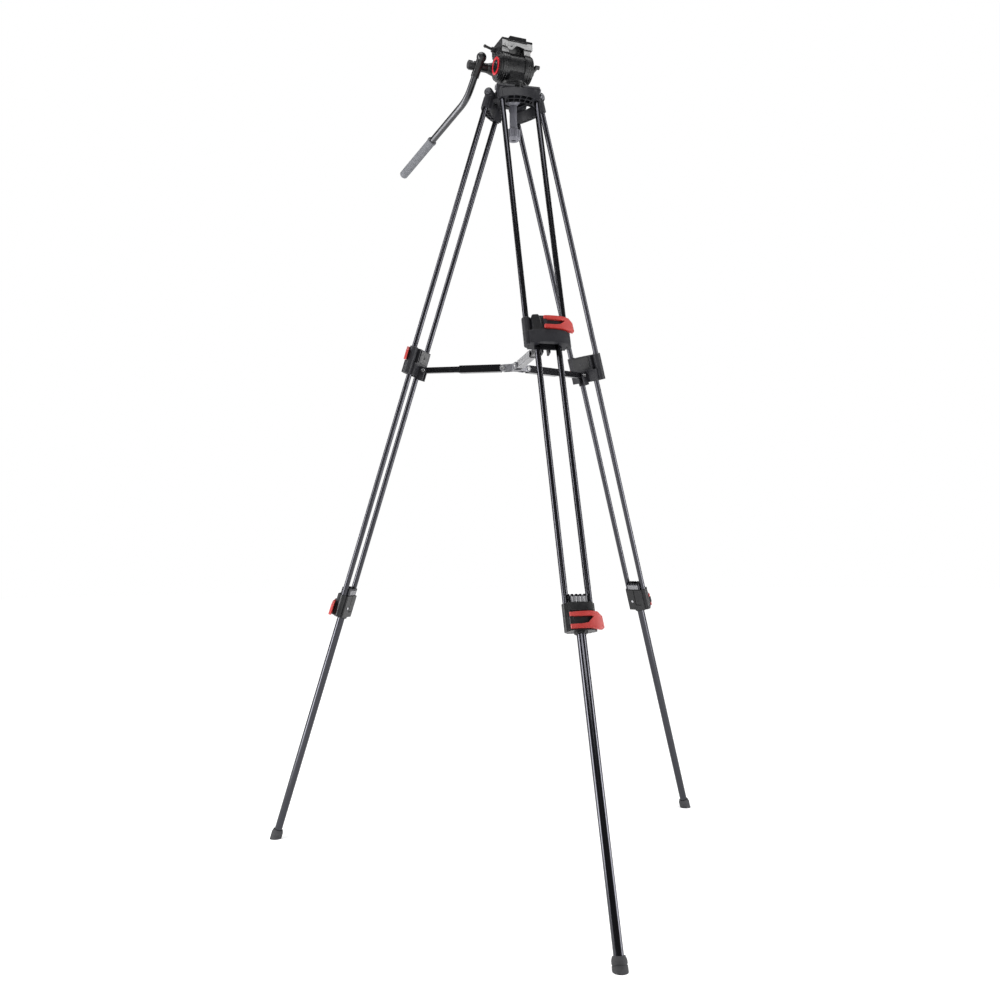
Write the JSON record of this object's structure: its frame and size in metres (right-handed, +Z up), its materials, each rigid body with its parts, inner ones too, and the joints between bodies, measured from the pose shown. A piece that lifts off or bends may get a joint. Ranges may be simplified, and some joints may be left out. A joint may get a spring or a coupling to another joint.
{
  "type": "video tripod with fluid head",
  "caption": "Twin-tube aluminium video tripod with mid-level spreader, flip-lever leg clamps, half-ball bowl and fluid head with pan bar.",
  "frame": {"origin": "middle of the footprint box at floor level; the tripod's centre line stands a quarter of the foot radius behind it", "axes": "+Z up, the front leg points along -Y, +X to the right seen from the front"},
  "size_m": [0.9702, 0.8435, 1.6705],
  "materials": {
    "casting": "fine-grained charcoal moulding",
    "spider_casting": "charcoal powder coat on a die casting",
    "anodised_tube": "black anodised, satin gloss",
    "lever_red": "muted red moulding",
    "steel": "plain turned and brushed",
    "dark_steel": "darkened steel",
    "sole_rubber": "dark grey rubber",
    "arm_black": "black anodised",
    "arm_grey": "satin natural aluminium",
    "hub_grey": "grey die casting",
    "ball_grey": "dark anodised",
    "knob_grey": "grey moulding",
    "head_black": "black satin coat",
    "head_grey": "light grey satin",
    "accent_red": "deep red gloss",
    "plate_black": "black anodised",
    "knob_black": "black moulding",
    "grip_rubber": "mid grey foam rubber"
  },
  "bodies": {
    "root": {"spider": "spider_casting", "hinge_pins": "dark_steel"},
    "leg_front": {"yoke_front": "casting", "upper_tubes_front": "anodised_tube", "collar_front": "casting", "arm_screw_front": "steel"},
    "collar_lever_front": {"collar_lever_front": "lever_red"},
    "middle_front": {"middle_stage_front": "anodised_tube", "lower_clamp_front": "casting"},
    "clamp_lever_front": {"clamp_lever_front": "lever_red"},
    "lower_front": {"lower_stage_front": "anodised_tube", "foot_front": "sole_rubber"},
    "arm_front": {"arm_bar_front": "arm_black"},
    "sleeve_front": {"arm_sleeve_front": "arm_grey"},
    "leg_right": {"yoke_right": "casting", "upper_tubes_right": "anodised_tube", "collar_right": "casting", "arm_screw_right": "steel"},
    "collar_lever_right": {"collar_lever_right": "lever_red"},
    "middle_right": {"middle_stage_right": "anodised_tube", "lower_clamp_right": "casting"},
    "clamp_lever_right": {"clamp_lever_right": "lever_red"},
    "lower_right": {"lower_stage_right": "anodised_tube", "foot_right": "sole_rubber"},
    "arm_right": {"arm_bar_right": "arm_black"},
    "sleeve_right": {"arm_sleeve_right": "arm_grey"},
    "leg_left": {"yoke_left": "casting", "upper_tubes_left": "anodised_tube", "collar_left": "casting", "arm_screw_left": "steel"},
    "collar_lever_left": {"collar_lever_left": "lever_red"},
    "middle_left": {"middle_stage_left": "anodised_tube", "lower_clamp_left": "casting"},
    "clamp_lever_left": {"clamp_lever_left": "lever_red"},
    "lower_left": {"lower_stage_left": "anodised_tube", "foot_left": "sole_rubber"},
    "arm_left": {"arm_bar_left": "arm_black"},
    "sleeve_left": {"arm_sleeve_left": "arm_grey"},
    "hub": {"spreader_hub": "hub_grey", "hub_screws": "steel"},
    "level": {"half_ball": "ball_grey", "tie_cup": "knob_grey", "pan_base": "head_black"},
    "tie_knob": {"tie_knob": "knob_grey"},
    "pan": {"pan_body": "head_black"},
    "tilt": {"tilt_axle": "steel", "drum_left": "head_black", "drum_right": "head_black", "platform": "head_grey", "accent_ring": "accent_red"},
    "plate": {"slide_plate": "plate_black"},
    "camera_screw": {"camera_screw": "steel"},
    "plate_lock": {"plate_lock": "knob_black"},
    "safety_button": {"safety_button": "accent_red"},
    "pan_lock": {"pan_lock": "knob_black"},
    "tilt_lock": {"tilt_lock": "knob_black"},
    "bar": {"bar_bracket": "head_black", "pan_bar": "anodised_tube", "bar_grip": "grip_rubber"},
    "bar_knob": {"bar_knob": "knob_black"}
  },
  "joints": [
    {"name": "leg_swing_front", "type": "hinge", "parent": "root", "child": "leg_front", "pos_m": [0, 0.09645, 1.54744], "axis": [1, 0, 0], "range_deg": [0, 15]},
    {"name": "collar_lever_front", "type": "hinge", "parent": "leg_front", "child": "collar_lever_front", "pos_m": [-0.0055, -0.09359, 1.02355], "axis": [0, -0.3107, -0.9505], "range_deg": [0, 110]},
    {"name": "middle_slide_front", "type": "slide", "parent": "leg_front", "child": "middle_front", "axis": [0, 0.3107, 0.9505], "range_m": [0, 0.45]},
    {"name": "clamp_lever_front", "type": "hinge", "parent": "middle_front", "child": "clamp_lever_front", "pos_m": [-0.019, -0.26467, 0.49558], "axis": [0, -0.3107, -0.9505], "range_deg": [0, 110]},
    {"name": "lower_slide_front", "type": "slide", "parent": "middle_front", "child": "lower_front", "axis": [0, 0.3107, 0.9505], "range_m": [0, 0.45]},
    {"name": "arm_swing_front", "type": "hinge", "parent": "leg_front", "child": "arm_front", "pos_m": [0, -0.06362, 0.98851], "axis": [1, 0, 0], "range_deg": [0, 63.67]},
    {"name": "arm_slide_front", "type": "slide", "parent": "arm_front", "child": "sleeve_front", "axis": [0, -0.9994, 0.0344], "range_m": [0, 0.07018]},
    {"name": "leg_swing_right", "type": "hinge", "parent": "root", "child": "leg_right", "pos_m": [0.03464, 0.15645, 1.54744], "axis": [-0.5, 0.866, 0], "range_deg": [0, 15]},
    {"name": "collar_lever_right", "type": "hinge", "parent": "leg_right", "child": "collar_lever_right", "pos_m": [0.20197, 0.2467, 1.02355], "axis": [0.2691, 0.1553, -0.9505], "range_deg": [0, 110]},
    {"name": "middle_slide_right", "type": "slide", "parent": "leg_right", "child": "middle_right", "axis": [-0.2691, -0.1553, 0.9505], "range_m": [0, 0.45]},
    {"name": "clamp_lever_right", "type": "hinge", "parent": "middle_right", "child": "clamp_lever_right", "pos_m": [0.35687, 0.32055, 0.49558], "axis": [0.2691, 0.1553, -0.9505], "range_deg": [0, 110]},
    {"name": "lower_slide_right", "type": "slide", "parent": "middle_right", "child": "lower_right", "axis": [-0.2691, -0.1553, 0.9505], "range_m": [0, 0.45]},
    {"name": "arm_swing_right", "type": "hinge", "parent": "leg_right", "child": "arm_right", "pos_m": [0.17326, 0.23648, 0.98851], "axis": [-0.5, 0.866, 0], "range_deg": [0, 63.67]},
    {"name": "arm_slide_right", "type": "slide", "parent": "arm_right", "child": "sleeve_right", "axis": [0.8655, 0.4997, 0.0344], "range_m": [0, 0.07018]},
    {"name": "leg_swing_left", "type": "hinge", "parent": "root", "child": "leg_left", "pos_m": [-0.03464, 0.15645, 1.54744], "axis": [-0.5, -0.866, 0], "range_deg": [0, 15]},
    {"name": "collar_lever_left", "type": "hinge", "parent": "leg_left", "child": "collar_lever_left", "pos_m": [-0.19647, 0.25622, 1.02355], "axis": [-0.2691, 0.1553, -0.9505], "range_deg": [0, 110]},
    {"name": "middle_slide_left", "type": "slide", "parent": "leg_left", "child": "middle_left", "axis": [0.2691, -0.1553, 0.9505], "range_m": [0, 0.45]},
    {"name": "clamp_lever_left", "type": "hinge", "parent": "middle_left", "child": "clamp_lever_left", "pos_m": [-0.33787, 0.35346, 0.49558], "axis": [-0.2691, 0.1553, -0.9505], "range_deg": [0, 110]},
    {"name": "lower_slide_left", "type": "slide", "parent": "middle_left", "child": "lower_left", "axis": [0.2691, -0.1553, 0.9505], "range_m": [0, 0.45]},
    {"name": "arm_swing_left", "type": "hinge", "parent": "leg_left", "child": "arm_left", "pos_m": [-0.17326, 0.23648, 0.98851], "axis": [-0.5, -0.866, 0], "range_deg": [0, 63.67]},
    {"name": "arm_slide_left", "type": "slide", "parent": "arm_left", "child": "sleeve_left", "axis": [-0.8655, 0.4997, 0.0344], "range_m": [0, 0.07018]},
    {"name": "hub_slide", "type": "slide", "parent": "root", "child": "hub", "axis": [0, 0, 1], "range_m": [0, 0.08483]},
    {"name": "level_tilt", "type": "hinge", "parent": "root", "child": "level", "pos_m": [0, 0.13645, 1.556], "axis": [0.9874, 0.1582, 0], "range_deg": [-10, 10]},
    {"name": "tie_knob_turn", "type": "hinge", "parent": "level", "child": "tie_knob", "pos_m": [0, 0.13645, 1.47], "axis": [0, 0, 1], "continuous": true},
    {"name": "pan", "type": "hinge", "parent": "level", "child": "pan", "pos_m": [0, 0.13645, 1.575], "axis": [0, 0, 1], "continuous": true},
    {"name": "tilt", "type": "hinge", "parent": "pan", "child": "tilt", "pos_m": [0, 0.13645, 1.61], "axis": [0.9874, 0.1582, 0], "range_deg": [-60, 90]},
    {"name": "plate_slide", "type": "slide", "parent": "tilt", "child": "plate", "axis": [-0.1582, 0.9874, 0], "range_m": [-0.015, 0.025]},
    {"name": "camera_screw_turn", "type": "hinge", "parent": "plate", "child": "camera_screw", "pos_m": [0, 0.13645, 1.657], "axis": [0, 0, 1], "continuous": true},
    {"name": "plate_lock_turn", "type": "hinge", "parent": "tilt", "child": "plate_lock", "pos_m": [-0.04139, 0.14197, 1.65], "axis": [0.9874, 0.1582, 0], "range_deg": [0, 80]},
    {"name": "safety_button_push", "type": "slide", "parent": "tilt", "child": "safety_button", "axis": [-0.9874, -0.1582, 0], "range_m": [0, 0.002], "stiffness_N_per_m": 400, "springref_m": -0.003},
    {"name": "pan_lock_turn", "type": "hinge", "parent": "pan", "child": "pan_lock", "pos_m": [-0.00411, 0.16212, 1.583], "axis": [-0.1582, 0.9874, 0], "range_deg": [0, 90]},
    {"name": "tilt_lock_turn", "type": "hinge", "parent": "tilt", "child": "tilt_lock", "pos_m": [0.0395, 0.14277, 1.61], "axis": [0.9874, 0.1582, 0], "range_deg": [0, 70]},
    {"name": "bar_swing", "type": "hinge", "parent": "tilt", "child": "bar", "pos_m": [-0.06296, 0.16282, 1.621], "axis": [0.9874, 0.1582, 0], "range_deg": [-20, 100]},
    {"name": "bar_knob_turn", "type": "hinge", "parent": "bar", "child": "bar_knob", "pos_m": [-0.08469, 0.15934, 1.621], "axis": [0.9874, 0.1582, 0], "continuous": true}
  ],
  "couplings": [
    {"joint": "arm_swing_front", "follows": "leg_swing_front", "ratio": 4.244},
    {"joint": "arm_slide_front", "follows": "leg_swing_front", "m_per_rad": 0.26803},
    {"joint": "leg_swing_right", "follows": "leg_swing_front", "ratio": 1},
    {"joint": "arm_swing_right", "follows": "leg_swing_front", "ratio": 4.244},
    {"joint": "arm_slide_right", "follows": "leg_swing_front", "m_per_rad": 0.26803},
    {"joint": "leg_swing_left", "follows": "leg_swing_front", "ratio": 1},
    {"joint": "arm_swing_left", "follows": "leg_swing_front", "ratio": 4.244},
    {"joint": "arm_slide_left", "follows": "leg_swing_front", "m_per_rad": 0.26803},
    {"joint": "hub_slide", "follows": "leg_swing_front", "m_per_rad": 0.32399}
  ]
}
